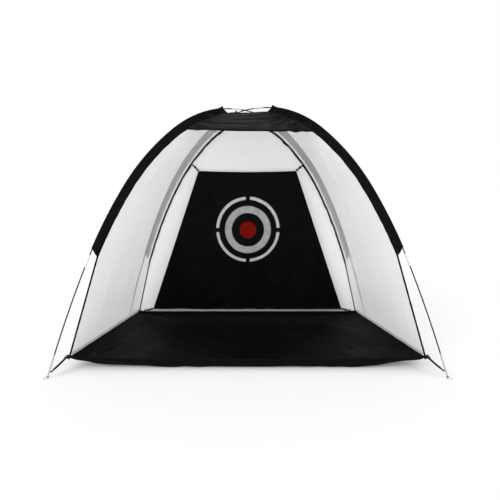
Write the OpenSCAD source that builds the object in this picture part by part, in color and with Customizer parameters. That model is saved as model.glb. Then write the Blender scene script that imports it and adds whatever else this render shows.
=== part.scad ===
/* [Footprint] */
// Distance between the two front feet
front_width = 2960; // [2200:10:3600]
// Distance between the two rear feet
rear_width = 2570; // [1900:10:3200]
// Distance from the front feet to the rear feet
depth = 1750; // [1300:10:2100]

/* [Poles] */
// Length of one pole section between the middles of its joints
section_length = 628; // [600:1:700]
// Length of the last section at each end of a pole
end_section_length = 756; // [700:1:800]
// Bend of each section as a share of the bend of the one above it
bend_falloff = 0.5; // [0.4:0.01:0.9]
// Outer diameter of a pole section
pole_d = 9.5; // [7:0.5:11]
// Bore of a pole section
pole_bore = 5; // [4.6:0.1:5.5]
// Length of a steel ferrule
ferrule_length = 96; // [60:1:110]
// Wall of a steel ferrule
ferrule_wall = 0.9; // [0.6:0.1:1.2]
// Diameter of the elastic cord inside a pole
shock_cord_d = 3; // [2:0.5:3.5]
// Length of the bright steel tube at each pole end
tip_length = 104; // [80:1:160]
// Height of one pole over the other where they cross
crossing_gap = 0.3; // [0.1:0.1:1]

/* [Feet] */
// Diameter of the foot pin
pin_d = 4.8; // [3.5:0.1:5.2]
// Length of the foot pin inside the pole tip
pin_seat = 70; // [40:1:90]
// Length of the foot pin under the pole tip
pin_drop = 46; // [36:1:70]
// Diameter of the collar that the pole tip stands on
collar_d = 12; // [10:0.5:16]
// Thickness of the collar
collar_t = 2.5; // [1.5:0.5:4]
// Outer diameter of the pin's eye
eye_d = 17; // [15:0.5:20]
// Hole in the pin's eye
eye_hole = 8; // [7:0.5:9]
// Thickness of the pin's eye
eye_t = 4; // [3:0.5:5]
// Outer diameter of a peg ring
peg_ring_d = 34; // [30:1:40]
// Wire diameter of the peg rings and strap rings
ring_wire = 3.2; // [2.5:0.1:3.6]
// Outer diameter of a strap ring
strap_ring_d = 27; // [25:1:32]

/* [Fabric] */
// Width of a sleeve from the pole to its seam
sleeve_width = 56; // [45:1:75]
// Outer diameter of the pole channel in a sleeve
channel_d = 18; // [17:0.5:22]
// Thickness of the woven fabric
cloth_t = 1.2; // [0.8:0.1:2]
// Thickness of the net
net_t = 1.2; // [0.8:0.1:2]
// Diameter of the seam bindings
binding_d = 6; // [4:0.5:8]
// Width of the net strip between a rear sleeve and its seam
rear_gusset = 24; // [16:2:40]
// Distance from the middle of a pole to the start of its front sleeve
front_sleeve_start = 92; // [80:2:200]
// Distance from the middle of a pole to the start of its rear sleeve
rear_sleeve_start = 190; // [170:2:300]
// Length of a front pole leg left bare under its sleeve
front_bare = 964; // [800:2:1050]
// Length of a rear pole leg left bare under its sleeve
rear_bare = 690; // [600:2:850]
// Length along the seam from the sleeve's start to the visor's lower edge
visor_depth = 480; // [330:2:560]
// Height of the white tape along the foot of the net
hem_height = 22; // [14:1:30]

/* [Floor] */
// Inset of the front floor corners from the front feet, sideways
front_inset_x = 104; // [80:2:140]
// Inset of the front floor corners behind the front feet
front_inset_y = 167; // [140:2:220]
// Height of the front floor corners
front_corner_z = 100; // [60:2:120]
// Inset of the rear floor corners from the rear feet, sideways
rear_inset_x = 110; // [80:2:140]
// Inset of the rear floor corners before the rear feet
rear_inset_y = 36; // [30:2:80]
// Height of the rear floor corners
rear_corner_z = 46; // [40:2:80]
// Width of the floor's raised edge
edge_rise_width = 150; // [110:5:220]
// Width of the webbing straps
strap_width = 25; // [18:1:30]
// Thickness of the webbing straps
strap_t = 2.4; // [1.5:0.1:3]
// Diameter of the reinforced corner patches
patch_d = 70; // [56:2:90]

/* [Target] */
// Width of the target sheet at its top
target_top_w = 930; // [760:10:1000]
// Width of the target sheet at its foot
target_foot_w = 2010; // [1700:10:2080]
// Height of the target's top edge above the ground
target_top_z = 1540; // [1450:10:1600]
// Distance of the target's top edge behind the middle of the net
target_top_y = 385; // [360:5:420]
// Height of the target's lower edge above the ground
target_foot_z = 92; // [80:2:120]
// Distance of the target's lower edge before the rear edge of the floor
target_foot_gap = 84; // [70:2:120]
// Diameter of the target's ties
tie_d = 5; // [3:0.5:6]

/* [Hidden] */

// The four legs, as [side, end]: left is -1, right is 1, front is -1, rear is 1
FRONT_LEFT = [-1, -1];
FRONT_RIGHT = [1, -1];
REAR_LEFT = [-1, 1];
REAR_RIGHT = [1, 1];
LEGS = [FRONT_LEFT, FRONT_RIGHT, REAR_LEFT, REAR_RIGHT];

fit = 0.3;                       // clearance between pieces that lie against each other
bore_fit = 0.1;                  // clearance of a rod in its tube, on the radius
half_sections = 4;               // pole sections on each side of the middle
half_front = front_width / 2;
half_rear = rear_width / 2;
span = norm([half_front + half_rear, depth]);
yaw = atan2(depth, half_front + half_rear);
ferrule_fit = 0.45;              // clearance of a rod in its ferrule, on the radius
ferrule_d = pole_d + 2 * (ferrule_fit + ferrule_wall);
tip_d = ferrule_d;
tip_overlap = 26;                // length of the steel tip that grips the last section
eye_z = eye_d / 2 + 0.5;         // height of the eye's centre above the ground
strap_loop_w = 8;                // width of the webbing where it is folded round the ring
skirt_set_back = 34;             // distance of the front edge's foot behind its taut top
front_sag = 22;                  // sag of the taut front edge at its middle
patch_t = 2.4;                   // thickness of a corner patch
patch_gap = 2;                   // length of a floor edge left free at each corner patch
rise_steps = 16;                 // divisions of the floor's raised edge
seam_steps = 22;                 // divisions of a seam along its sleeve
tail_steps = 4;                  // divisions of a seam under its sleeve
sweep_sides = 8;                 // sides of a seam binding and of the elastic cord
wall_cols = 6;                   // divisions across a net wall
front_cols = 8;                  // divisions across the visor and the net's tape
hem_share = 0.22;                // height of the visor's hem, as a share of a division
clip_size = 26;                  // diameter of a hook's plate
clip_t = 4;                      // thickness of a hook's plate
clip_clear = 3;                  // room round a tie in its hook
tie_u = 1.615;                   // seam station of the upper ties

/* ---- Shape of a bent pole: one arc per section, tangent to each other ---- */

// Share of the bend that a section takes; a bent rod curves most at its middle
function bend_share(i) = pow(bend_falloff, i);
function arc_length(i) = i == half_sections - 1 ? end_section_length : section_length;
function heading(i, c) = i == 0 ? 0 : heading(i - 1, c) + c * bend_share(i - 1);
function radius(i, c) = arc_length(i) * 180 / (PI * c * bend_share(i));
function reach(i, c) = i == 0 ? 0
  : reach(i - 1, c) + radius(i - 1, c) * (sin(heading(i, c)) - sin(heading(i - 1, c)));
function fall(i, c) = i == 0 ? 0
  : fall(i - 1, c) + radius(i - 1, c) * (cos(heading(i - 1, c)) - cos(heading(i, c)));
function half_span(c) = reach(half_sections, c)
  + (tip_length + pin_drop) * cos(heading(half_sections, c));
function solve_bend(low, high, steps) = steps == 0 ? (low + high) / 2
  : let (mid = (low + high) / 2)
    half_span(mid) > span / 2 ? solve_bend(mid, high, steps - 1) : solve_bend(low, mid, steps - 1);

bend = solve_bend(1, 45, 40);
H = [for (i = [0 : half_sections]) heading(i, bend)];
R = [for (i = [0 : half_sections - 1]) radius(i, bend)];
Q = [for (i = [0 : half_sections]) reach(i, bend)];
foot_angle = H[half_sections];
apex_z = fall(half_sections, bend) + (tip_length + pin_drop) * sin(foot_angle) + eye_z;
Z = [for (i = [0 : half_sections]) apex_z - fall(i, bend)];
half_rod = (half_sections - 1) * section_length + end_section_length;

// Pole a passes under pole b
function lift(leg) = (leg[0] * leg[1] > 0 ? -1 : 1) * (pole_d + crossing_gap) / 2;

// A leg's plane: its middle, its direction, and the turn of that direction about Z
function own_half(leg) = leg[1] < 0 ? half_front : half_rear;
function far_half(leg) = leg[1] < 0 ? half_rear : half_front;
function leg_middle(leg) = [leg[0] * (own_half(leg) - far_half(leg)) / 2, 0, 0];
function leg_dir(leg) = [leg[0] * cos(yaw), leg[1] * sin(yaw), 0];
function leg_turn(leg) = atan2(leg_dir(leg)[1], leg_dir(leg)[0]);

function section_of(l) = min(half_sections - 1, floor(l / section_length));
// Heading of the pole at length l from its middle
function heading_in(i, l) = H[i] + (l - i * section_length) / arc_length(i) * bend * bend_share(i);
function heading_at(l) = heading_in(section_of(l), l);
// Point at length l from the pole's middle, set in towards the inside of the bend
function leg_point(leg, l, inset = 0) = let (
    i = section_of(l),
    h = heading_at(l),
    q = Q[i] + R[i] * (sin(h) - sin(H[i])) - inset * sin(h),
    z = Z[i] - R[i] * (cos(H[i]) - cos(h)) - inset * cos(h) + lift(leg)
  ) leg_middle(leg) + q * leg_dir(leg) + [0, 0, z];
// Point at length s past the end of the last section, along the straight tip and pin
function foot_point(leg, s) = leg_middle(leg)
  + (Q[half_sections] + s * cos(foot_angle)) * leg_dir(leg)
  + [0, 0, Z[half_sections] - s * sin(foot_angle) + lift(leg)];
// Length past the last section at which the leg's line reaches height z
function length_to(leg, z) = (Z[half_sections] + lift(leg) - z) / sin(foot_angle);

/* ---- Seams: along the sleeve's inner edge, then straight to the floor corner ---- */

function bare(leg) = leg[1] < 0 ? front_bare : rear_bare;
function sleeve_end(leg) = half_rod + tip_length + pin_drop - bare(leg);
function corner(leg) = leg[1] < 0
  ? [leg[0] * (half_front - front_inset_x), -depth / 2 + front_inset_y, front_corner_z]
  : [leg[0] * (half_rear - rear_inset_x), depth / 2 - rear_inset_y, rear_corner_z];
// Distance from a leg's pole to its seam; a rear sleeve reaches its seam through a strip of net
function seam_inset(leg) = sleeve_width + (leg[1] < 0 ? 0 : rear_gusset);
function sleeve_start(leg) = leg[1] < 0 ? front_sleeve_start : rear_sleeve_start;
function kink(leg) = leg_point(leg, sleeve_end(leg), seam_inset(leg));
function tail(leg) = norm(kink(leg) - corner(leg));
// Seam point: u from 0 at the floor corner to 1 at the sleeve's foot to 2 at its top
function seam(leg, u) = u <= 1
  ? corner(leg) + u * (kink(leg) - corner(leg))
  : leg_point(leg, sleeve_end(leg) + (u - 1) * (sleeve_start(leg) - sleeve_end(leg)), seam_inset(leg));
function unit(v) = v / norm(v);
function between(a, b, from_a, from_b) = [a + from_a * unit(b - a), b - from_b * unit(b - a)];

/* ---- Helpers ---- */

// Arcs of a leg between lengths from and to, of a profile drawn as [outward, sideways]
module along_leg(leg, from, to) {
  translate(leg_middle(leg) + [0, 0, lift(leg)])
    rotate([0, 0, leg_turn(leg)])
      for (i = [0 : half_sections - 1]) {
        a = max(from, i * section_length);
        b = min(to, i * section_length + arc_length(i));
        if (b > a + 0.01)
          translate([Q[i] - R[i] * sin(H[i]), 0, Z[i] - R[i] * cos(H[i])])
            rotate([90, 0, 0])
              rotate([0, 0, 90 - heading_in(i, b)])
                rotate_extrude(angle = heading_in(i, b) - heading_in(i, a), $fn = 720)
                  translate([R[i], 0])
                    children();
      }
}

// A straight piece along the leg's foot line, its own Z pointing down the leg
module at_foot(leg, s) {
  translate(foot_point(leg, s))
    rotate([0, 0, leg_turn(leg)])
      rotate([0, 90 + foot_angle, 0])
        children();
}

module rod(a, b, d) {
  v = b - a;
  translate(a)
    rotate([0, acos(v[2] / norm(v)), atan2(v[1], v[0])])
      cylinder(h = norm(v), d = d, $fn = 48);
}

module ring(outer_d, wire_d) {
  rotate_extrude($fn = 64)
    translate([outer_d / 2 - wire_d / 2, 0])
      circle(d = wire_d, $fn = 24);
}

// The level direction across a leg's plane
function leg_side(leg) = cross(leg_dir(leg), [0, 0, 1]);

// An outline, drawn as [outward, sideways], carried down a path in a leg's plane
module sweep(path, outline, side) {
  n = len(path);
  m = len(outline);
  function dir(i) = unit(path[min(i + 1, n - 1)] - path[max(i - 1, 0)]);
  points = [for (i = [0 : n - 1]) let (out = unit(cross(side, dir(i))))
    for (p = outline) path[i] + p[0] * out + p[1] * side];
  walls = [for (i = [0 : n - 2]) for (k = [0 : m - 1])
    let (a = i * m + k, b = i * m + (k + 1) % m)
    each [[a, b, b + m], [a, b + m, a + m]]];
  ends = [[for (k = [m - 1 : -1 : 0]) k], [for (k = [0 : m - 1]) (n - 1) * m + k]];
  polyhedron(points = points, faces = concat(walls, ends), convexity = 8);
}

// A round outline for a sweep
function round_outline(d) = [for (k = [0 : sweep_sides - 1])
  d / 2 * [cos(360 / sweep_sides * k), sin(360 / sweep_sides * k)]];

// A closed sheet of thickness t through a grid of points, rows by columns
module sheet(grid, t) {
  rows = len(grid);
  cols = len(grid[0]);
  function at(i, j) = grid[min(max(i, 0), rows - 1)][min(max(j, 0), cols - 1)];
  function normal(i, j) = unit(cross(at(i + 1, j) - at(i - 1, j), at(i, j + 1) - at(i, j - 1)));
  top = [for (i = [0 : rows - 1]) for (j = [0 : cols - 1]) at(i, j) + normal(i, j) * t / 2];
  low = [for (i = [0 : rows - 1]) for (j = [0 : cols - 1]) at(i, j) - normal(i, j) * t / 2];
  n = rows * cols;
  rim = concat(
    [for (j = [0 : cols - 2]) j],
    [for (i = [0 : rows - 2]) i * cols + cols - 1],
    [for (j = [cols - 1 : -1 : 1]) (rows - 1) * cols + j],
    [for (i = [rows - 1 : -1 : 1]) i * cols]
  );
  faces = concat(
    [for (i = [0 : rows - 2]) for (j = [0 : cols - 2]) let (k = i * cols + j)
      each [[k, k + cols + 1, k + 1], [k, k + cols, k + cols + 1]]],
    [for (i = [0 : rows - 2]) for (j = [0 : cols - 2]) let (k = n + i * cols + j)
      each [[k, k + 1, k + cols + 1], [k, k + cols + 1, k + cols]]],
    [for (k = [0 : len(rim) - 1]) let (a = rim[k], b = rim[(k + 1) % len(rim)])
      each [[a, b, n + b], [a, n + b, n + a]]]
  );
  polyhedron(points = concat(top, low), faces = faces, convexity = 6);
}

// How far a panel stops short of a seam, so that its edge clears the seam by a margin
function seam_way(leg, u) = unit(seam(leg, min(u + 0.01, 2)) - seam(leg, max(u - 0.01, 0)));
function set_in(leg, u, across, margin) = margin / max(0.2, norm(cross(seam_way(leg, u), across)));

// Ruled sheet between two seams at the stations us, set in from both by a margin
module panel(leg_a, leg_b, us, cols, margin, t) {
  sheet([for (u = us) let (
      a = seam(leg_a, u),
      b = seam(leg_b, u),
      across = unit(b - a),
      ends = between(a, b, set_in(leg_a, u, across, margin), set_in(leg_b, u, across, margin))
    ) [for (j = [0 : cols]) ends[0] + (ends[1] - ends[0]) * j / cols]], t);
}

/* ---- Poles ---- */

// Section k, from 1 at the front foot to 8 at the rear foot
module pole_section(front_leg, rear_leg, k) {
  leg = k <= half_sections ? front_leg : rear_leg;
  i = k <= half_sections ? half_sections - k : k - half_sections - 1;
  color("#1c1c1d")
    along_leg(leg, i * section_length + fit / 2, i * section_length + arc_length(i) - fit / 2)
      difference() {
        circle(d = pole_d, $fn = 48);
        circle(d = pole_bore, $fn = 48);
      }
}

// A steel tube over joint i, bent with the mean curvature of the sections that meet there
module ferrule(leg, i) {
  r = i == 0 ? R[0] : 2 / (1 / R[i - 1] + 1 / R[i]);
  h = H[i];
  half_angle = ferrule_length / 2 / r * 180 / PI;
  translate(leg_point(leg, i * section_length))
    rotate([0, 0, leg_turn(leg)])
      translate([-r * sin(h), 0, -r * cos(h)])
        rotate([90, 0, 0])
          rotate([0, 0, 90 - h - half_angle])
            rotate_extrude(angle = 2 * half_angle, $fn = 720)
              translate([r, 0])
                difference() {
                  circle(d = ferrule_d, $fn = 48);
                  circle(d = pole_d + 2 * ferrule_fit, $fn = 48);
                }
}

module ferrules(front_leg, rear_leg) {
  color("silver") {
    ferrule(front_leg, 0);
    for (leg = [front_leg, rear_leg])
      for (i = [1 : half_sections - 1])
        ferrule(leg, i);
  }
}

module shock_cord(front_leg, rear_leg) {
  steps = 36;
  step = (half_rod - fit) / steps;
  path = concat(
    [for (k = [steps : -1 : 1]) leg_point(front_leg, k * step)],
    [for (k = [0 : steps]) leg_point(rear_leg, k * step)]
  );
  color("#3a3a3c")
    sweep(path, round_outline(shock_cord_d), leg_side(rear_leg));
}

module pole_tip(leg) {
  color("#a9abad")
    at_foot(leg, -tip_overlap)
      difference() {
        cylinder(h = tip_overlap + tip_length, d = tip_d, $fn = 48);
        translate([0, 0, -1])
          cylinder(h = tip_overlap + 1 + fit, d = pole_d + 2 * bore_fit + 0.3, $fn = 48);
        cylinder(h = tip_overlap + tip_length + 1, d = pin_d + 2 * bore_fit, $fn = 48);
      }
}

/* ---- Feet ---- */

module foot_pin(leg) {
  eye_s = length_to(leg, eye_z);
  at_foot(leg, tip_length - pin_seat)
    cylinder(h = eye_s - tip_length + pin_seat - eye_hole / 2 - 1, d = pin_d, $fn = 32);
  at_foot(leg, tip_length + fit / 3)
    cylinder(h = collar_t, d = collar_d, $fn = 48);
  translate(foot_point(leg, eye_s))
    rotate([0, 0, leg_turn(leg)])
      rotate([90, 0, 0])
        difference() {
          cylinder(h = eye_t, d = eye_d, center = true, $fn = 48);
          cylinder(h = eye_t + 2, d = eye_hole, center = true, $fn = 48);
        }
}

// The peg ring bears on the outer side of the pin's eye and lies outward on the ground
peg_ring_shift = (eye_hole - ring_wire) / 2 - fit;
peg_ring_tilt = asin((eye_z - ring_wire / 2 - fit) / (peg_ring_d - ring_wire + peg_ring_shift));
module peg_ring(leg) {
  color("#c4c6c8")
    translate(foot_point(leg, length_to(leg, eye_z)))
      rotate([0, 0, leg_turn(leg)])
        rotate([0, peg_ring_tilt, 0])
          translate([(peg_ring_d - ring_wire) / 2 + peg_ring_shift, 0, 0])
            ring(peg_ring_d, ring_wire);
}

// The strap ring lies round the pin, under the collar, against the pin's outer side
strap_ring_s = collar_t + ring_wire + 2;
strap_ring_shift = strap_ring_d / 2 - ring_wire - pin_d / 2 - fit;
function strap_dir(leg) = unit([corner(leg)[0] - foot_point(leg, tip_length)[0],
                                corner(leg)[1] - foot_point(leg, tip_length)[1], 0]);
function strap_ring_centre(leg) = foot_point(leg, tip_length + strap_ring_s + ring_wire)
  + strap_ring_shift * strap_dir(leg);
function strap_tilt(leg) = let (v = corner(leg) - strap_ring_centre(leg)) asin(v[2] / norm(v));

module strap_ring(leg) {
  v = strap_dir(leg);
  translate(strap_ring_centre(leg))
    rotate([0, 0, atan2(v[1], v[0])])
      ring(strap_ring_d, ring_wire);
}

// A strap: flat webbing from the corner patch to a loop round the strap ring
module strap(leg) {
  v = strap_dir(leg);
  grip = strap_ring_centre(leg) + (strap_ring_d - ring_wire) / 2 * v;
  far = corner(leg) - (patch_d / 2 + fit + strap_t / 2 * sin(strap_tilt(leg))) * v;
  run = norm(far - grip);
  tilt = asin((far - grip)[2] / run);
  ring_r = (strap_ring_d - ring_wire) / 2;
  sag = ring_r - sqrt(pow(ring_r, 2) - pow(strap_loop_w / 2, 2));
  hole_d = ring_wire + 2 * fit + sag;
  loop_d = hole_d + 2 * strap_t;
  color("#151516")
    translate(grip)
      rotate([0, 0, atan2(v[1], v[0])])
        rotate([0, -tilt, 0])
          difference() {
            union() {
              translate([-sag / 2, 0, 0])
                rotate([90, 0, 0])
                  cylinder(h = strap_loop_w, d = loop_d, center = true, $fn = 48);
              translate([0, -strap_loop_w / 2, -strap_t])
                cube([loop_d + 6, strap_loop_w, 2 * strap_t]);
              translate([loop_d + 2, -strap_width / 2, -strap_t / 2])
                cube([run - loop_d - 2, strap_width, strap_t]);
            }
            translate([-sag / 2, 0, 0])
              rotate([90, 0, 0])
                cylinder(h = strap_width * 2, d = hole_d, center = true, $fn = 48);
          }
}

/* ---- Floor ---- */

// Taut edge points of the floor, and the points where it meets the ground further in
function ground_corner(leg) = [
  corner(leg)[0] - leg[0] * edge_rise_width,
  corner(leg)[1] - leg[1] * (leg[1] < 0 ? skirt_set_back : edge_rise_width / 2),
  0
];

module corner_patch(leg) {
  color("#101011")
    translate(corner(leg))
      cylinder(h = patch_t, d = patch_d, center = true, $fn = 64);
}

module floor_sheet() {
  color("#0d0d0e")
    linear_extrude(cloth_t)
      polygon([for (leg = [FRONT_LEFT, FRONT_RIGHT, REAR_RIGHT, REAR_LEFT])
        [ground_corner(leg)[0], ground_corner(leg)[1]]]);
}

// A band from the floor sheet's edge up to the taut edge between two corners
module rise(leg_a, leg_b, sag) {
  top = between(corner(leg_a), corner(leg_b), patch_d / 2 + patch_gap, patch_d / 2 + patch_gap);
  low = between(ground_corner(leg_a), ground_corner(leg_b), patch_gap, patch_gap);
  out = unit((top[0] + top[1] - low[0] - low[1]) * 0.5);
  sheet([for (i = [0 : rise_steps]) let (
      f = i / rise_steps,
      up = top[0] + (top[1] - top[0]) * f - [0, 0, sag * 4 * f * (1 - f)],
      down = low[0] + (low[1] - low[0]) * f + [0, 0, cloth_t / 2 + 0.1]
    ) [for (j = [0 : 3])
      down + out * (cloth_t / 2 + fit) * (1 - j / 3) + (up - down) * j / 3]], cloth_t);
}

module floor_edge_band() {
  color("#111112") {
    rise(REAR_LEFT, FRONT_LEFT, 0);
    rise(FRONT_RIGHT, REAR_RIGHT, 0);
    rise(REAR_RIGHT, REAR_LEFT, 0);
  }
}

module front_skirt() {
  color("#0b0b0c")
    rise(FRONT_LEFT, FRONT_RIGHT, front_sag);
}

/* ---- Net, sleeves and visor ---- */

seam_clear = binding_d / 2 + max(net_t, cloth_t) / 2 + fit;
function u_at(leg_a, leg_b, h) = h / min(tail(leg_a), tail(leg_b));

module net_wall(leg_a, leg_b) {
  foot = u_at(leg_a, leg_b, hem_height + 2 * fit);
  below = [for (i = [1 : tail_steps - 1]) i / tail_steps];
  color("#eeeeee")
    panel(leg_a, leg_b, concat([foot], below, stations(1, 2)), wall_cols, seam_clear, net_t);
}

module net_hem(leg_a, leg_b) {
  color("#e4e4e4")
    panel(leg_a, leg_b, [u_at(leg_a, leg_b, cloth_t), u_at(leg_a, leg_b, hem_height)], front_cols,
      patch_d / 2 + fit, net_t);
}

// Stations from u0 to u1 along a seam, close where the seam is curved
function stations(u0, u1) = [for (i = [0 : seam_steps]) u0 + (u1 - u0) * i / seam_steps];

module binding(leg) {
  start = (binding_d / 2 + patch_t / 2 + fit) / tail(leg);
  path = concat([for (u = stations(2, 1)) seam(leg, u)], [seam(leg, start)]);
  color("#161617")
    sweep(path, round_outline(binding_d), leg_side(leg));
}

// A sleeve: cloth folded round the pole, its two layers lying together down to the seam
module sleeve(leg) {
  lengths = [for (i = [0 : seam_steps])
    sleeve_start(leg) + (sleeve_end(leg) - sleeve_start(leg)) * i / seam_steps];
  outer = channel_d / 2;
  inner = outer - cloth_t;
  edge = -(seam_inset(leg) - binding_d / 2 - fit);
  slit = 0.15;
  outline = concat(
    [[edge, slit]],
    [for (a = [165 : -30 : -165]) inner * [cos(a), sin(a)]],
    [[edge, -slit], [edge, -slit - cloth_t]],
    [for (a = [-150 : 30 : 150]) outer * [cos(a), sin(a)]],
    [[edge, slit + cloth_t]]
  );
  color("#1d1d1f")
    sweep([for (l = lengths) leg_point(leg, l)], outline, leg_side(leg));
}

// The visor ends on a station of the seam, the one nearest its depth
visor_step = (sleeve_end(FRONT_LEFT) - sleeve_start(FRONT_LEFT)) / seam_steps;
visor_rows = max(2, round(visor_depth / visor_step));
visor_u = 2 - visor_rows / seam_steps;

module visor() {
  color("#343436")
    panel(FRONT_LEFT, FRONT_RIGHT, [for (i = [0 : visor_rows]) visor_u + i / seam_steps], front_cols,
      seam_clear, cloth_t);
}

module visor_hem() {
  color("#0f0f10")
    panel(FRONT_LEFT, FRONT_RIGHT,
      [visor_u - hem_share / seam_steps, visor_u - hem_share / 20 / seam_steps], front_cols,
      seam_clear, 2 * cloth_t);
}

/* ---- Target ---- */

target_foot_y = depth / 2 - rear_inset_y - target_foot_gap;
target_top = [for (side = [-1, 1]) [side * target_top_w / 2, target_top_y, target_top_z]];
target_foot = [for (side = [-1, 1]) [side * target_foot_w / 2, target_foot_y, target_foot_z]];

module target_sheet() {
  rows = 6;
  color("#131314")
    sheet([for (i = [0 : rows]) let (
        a = target_top[0] + (target_foot[0] - target_top[0]) * i / rows,
        b = target_top[1] + (target_foot[1] - target_top[1]) * i / rows
      ) [a, (a + b) / 2, b]], cloth_t);
}

// A hook: a small plate beside the sheet's corner, with a ring that takes the tie
module clip(at, away) {
  dir = unit([away[0], 0, away[2]]);
  centre = at + (clip_size / 2 + fit) * dir;
  translate(centre)
    rotate([90, 0, 0])
      difference() {
        cylinder(h = clip_t, d = clip_size, center = true, $fn = 48);
        cylinder(h = clip_t + 2, d = tie_d + clip_clear, center = true, $fn = 48);
      }
}
function clip_hole(at, away) = at + (clip_size / 2 + fit) * unit([away[0], 0, away[2]]);

module target_clips() {
  color("#0c0c0d")
    for (side = [0, 1]) {
      clip(target_top[side], [side * 2 - 1, 0, 1]);
      clip(target_foot[side], [side * 2 - 1, 0, 0]);
    }
}

// Ties: from the seams of the rear corners to the hooks, each starting at a hook's rim
function hook_rim(hook, to) = let (v = to - hook) hook
  + (clip_size / 2 + fit + tie_d / 2 * abs(unit(v)[1])) * unit([v[0], 0, v[2]]);

// A tie's end beside the seam binding, off the rear net by the fit
function tie_anchor(leg) = seam(leg, tie_u)
  + (binding_d / 2 + tie_d / 2 + fit) * unit(cross([1, 0, 0], seam_way(leg, tie_u)));

module target_ties() {
  color("#202021")
    for (side = [0, 1]) {
      leg = [side * 2 - 1, 1];
      top_hook = clip_hole(target_top[side], [side * 2 - 1, 0, 1]);
      foot_hook = clip_hole(target_foot[side], [side * 2 - 1, 0, 0]);
      anchor = tie_anchor(leg);
      foot_way = foot_hook - corner(leg);
      foot_end = corner(leg)
        + (patch_d / 2 + fit + tie_d / 2 * abs(unit(foot_way)[2])) * unit([foot_way[0], foot_way[1], 0]);
      rod(hook_rim(top_hook, anchor), anchor, tie_d);
      rod(hook_rim(foot_hook, foot_end), foot_end, tie_d);
    }
}

/* ---- Assembly ---- */

for (k = [1 : 2 * half_sections]) {
  pole_section(FRONT_LEFT, REAR_RIGHT, k);
  pole_section(FRONT_RIGHT, REAR_LEFT, k);
}
ferrules(FRONT_LEFT, REAR_RIGHT);  // pole_a_ferrules
ferrules(FRONT_RIGHT, REAR_LEFT);  // pole_b_ferrules
shock_cord(FRONT_LEFT, REAR_RIGHT);  // shock_cord_a
shock_cord(FRONT_RIGHT, REAR_LEFT);  // shock_cord_b

leg_names = ["front_left", "front_right", "rear_left", "rear_right"];
for (n = [0 : 3]) {
  pole_tip(LEGS[n]);
  peg_ring(LEGS[n]);
  strap(LEGS[n]);
  sleeve(LEGS[n]);
}
color("#4a4a4c") for (leg = LEGS) foot_pin(leg);  // foot_pins
color("silver") for (leg = LEGS) strap_ring(leg);  // strap_rings
for (leg = LEGS) corner_patch(leg);  // corner_patches
floor_sheet();
floor_edge_band();
front_skirt();
net_wall(REAR_LEFT, FRONT_LEFT);  // net_left
net_wall(FRONT_RIGHT, REAR_RIGHT);  // net_right
net_wall(REAR_RIGHT, REAR_LEFT);  // net_rear
union() {  // net_hems
  net_hem(REAR_LEFT, FRONT_LEFT);
  net_hem(FRONT_RIGHT, REAR_RIGHT);
  net_hem(REAR_RIGHT, REAR_LEFT);
}
binding(FRONT_LEFT);  // edge_front_left
binding(FRONT_RIGHT);  // edge_front_right
binding(REAR_LEFT);  // seam_rear_left
binding(REAR_RIGHT);  // seam_rear_right
visor();
visor_hem();
target_sheet();
target_clips();
target_ties();
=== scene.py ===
"""A golf chipping net: crossed poles, cloth sleeves, net walls, visor, floor and hanging target."""
import math

import bmesh
import bpy
import numpy as np
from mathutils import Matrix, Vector


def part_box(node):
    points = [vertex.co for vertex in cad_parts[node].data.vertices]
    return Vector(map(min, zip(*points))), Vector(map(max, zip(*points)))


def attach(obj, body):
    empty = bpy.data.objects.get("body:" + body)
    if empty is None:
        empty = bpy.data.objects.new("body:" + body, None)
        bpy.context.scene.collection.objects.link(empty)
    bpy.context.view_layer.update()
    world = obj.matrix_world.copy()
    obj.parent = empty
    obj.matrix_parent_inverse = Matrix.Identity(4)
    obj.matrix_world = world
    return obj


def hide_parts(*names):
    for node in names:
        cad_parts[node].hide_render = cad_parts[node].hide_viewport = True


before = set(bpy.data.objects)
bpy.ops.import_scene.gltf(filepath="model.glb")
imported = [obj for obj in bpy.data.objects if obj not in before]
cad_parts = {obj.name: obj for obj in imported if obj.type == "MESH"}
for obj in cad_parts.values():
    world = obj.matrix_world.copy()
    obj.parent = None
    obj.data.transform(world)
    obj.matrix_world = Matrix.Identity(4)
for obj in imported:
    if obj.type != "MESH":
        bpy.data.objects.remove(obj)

LEGS = {
    "front_left": (-1, -1),
    "front_right": (1, -1),
    "rear_left": (-1, 1),
    "rear_right": (1, 1),
}
UP = np.array([0.0, 0.0, 1.0])
rng = np.random.default_rng(11)
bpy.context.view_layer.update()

# ---- camera, light and floor

CAMERA_AHEAD = 3.4533      # in front of the front feet's eyes
CAMERA_HEIGHT = 1.4455
CAMERA_PITCH = 8.038
CAMERA_LENS = 35.192
CAMERA_SHIFT = 0.0052
EYE_INSET = 0.009          # from the front of the foot pins to their eyes
KEY_SUN = (1.4, -40, 32, 34)   # strength, then azimuth, elevation and softness in degrees
FILL_SUN = (1.0, 42, 18, 60)


def add_object(name, data):
    obj = bpy.data.objects.new(name, data)
    bpy.context.scene.collection.objects.link(obj)
    return obj


def add_camera():
    data = bpy.data.cameras.new("camera")
    data.lens = CAMERA_LENS
    data.sensor_width = 36.0
    data.shift_x = CAMERA_SHIFT
    data.clip_end = 200
    cam = add_object("camera", data)
    cam.location = (0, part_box("foot_pins")[0].y + EYE_INSET - CAMERA_AHEAD, CAMERA_HEIGHT)
    cam.rotation_euler = (math.radians(90 - CAMERA_PITCH), 0, 0)
    bpy.context.scene.camera = cam


def add_sun(name, strength, azimuth, elevation, softness):
    data = bpy.data.lights.new(name, "SUN")
    data.energy = strength
    data.angle = math.radians(softness)
    lamp = add_object(name, data)
    a, e = math.radians(azimuth), math.radians(elevation)
    aim = Vector((math.sin(a) * math.cos(e), -math.cos(a) * math.cos(e), math.sin(e)))
    lamp.rotation_mode = "QUATERNION"
    lamp.rotation_quaternion = aim.to_track_quat("Z", "Y")
    lamp.location = aim * 6


add_camera()
add_sun("key", *KEY_SUN)
add_sun("fill", *FILL_SUN)


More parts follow.
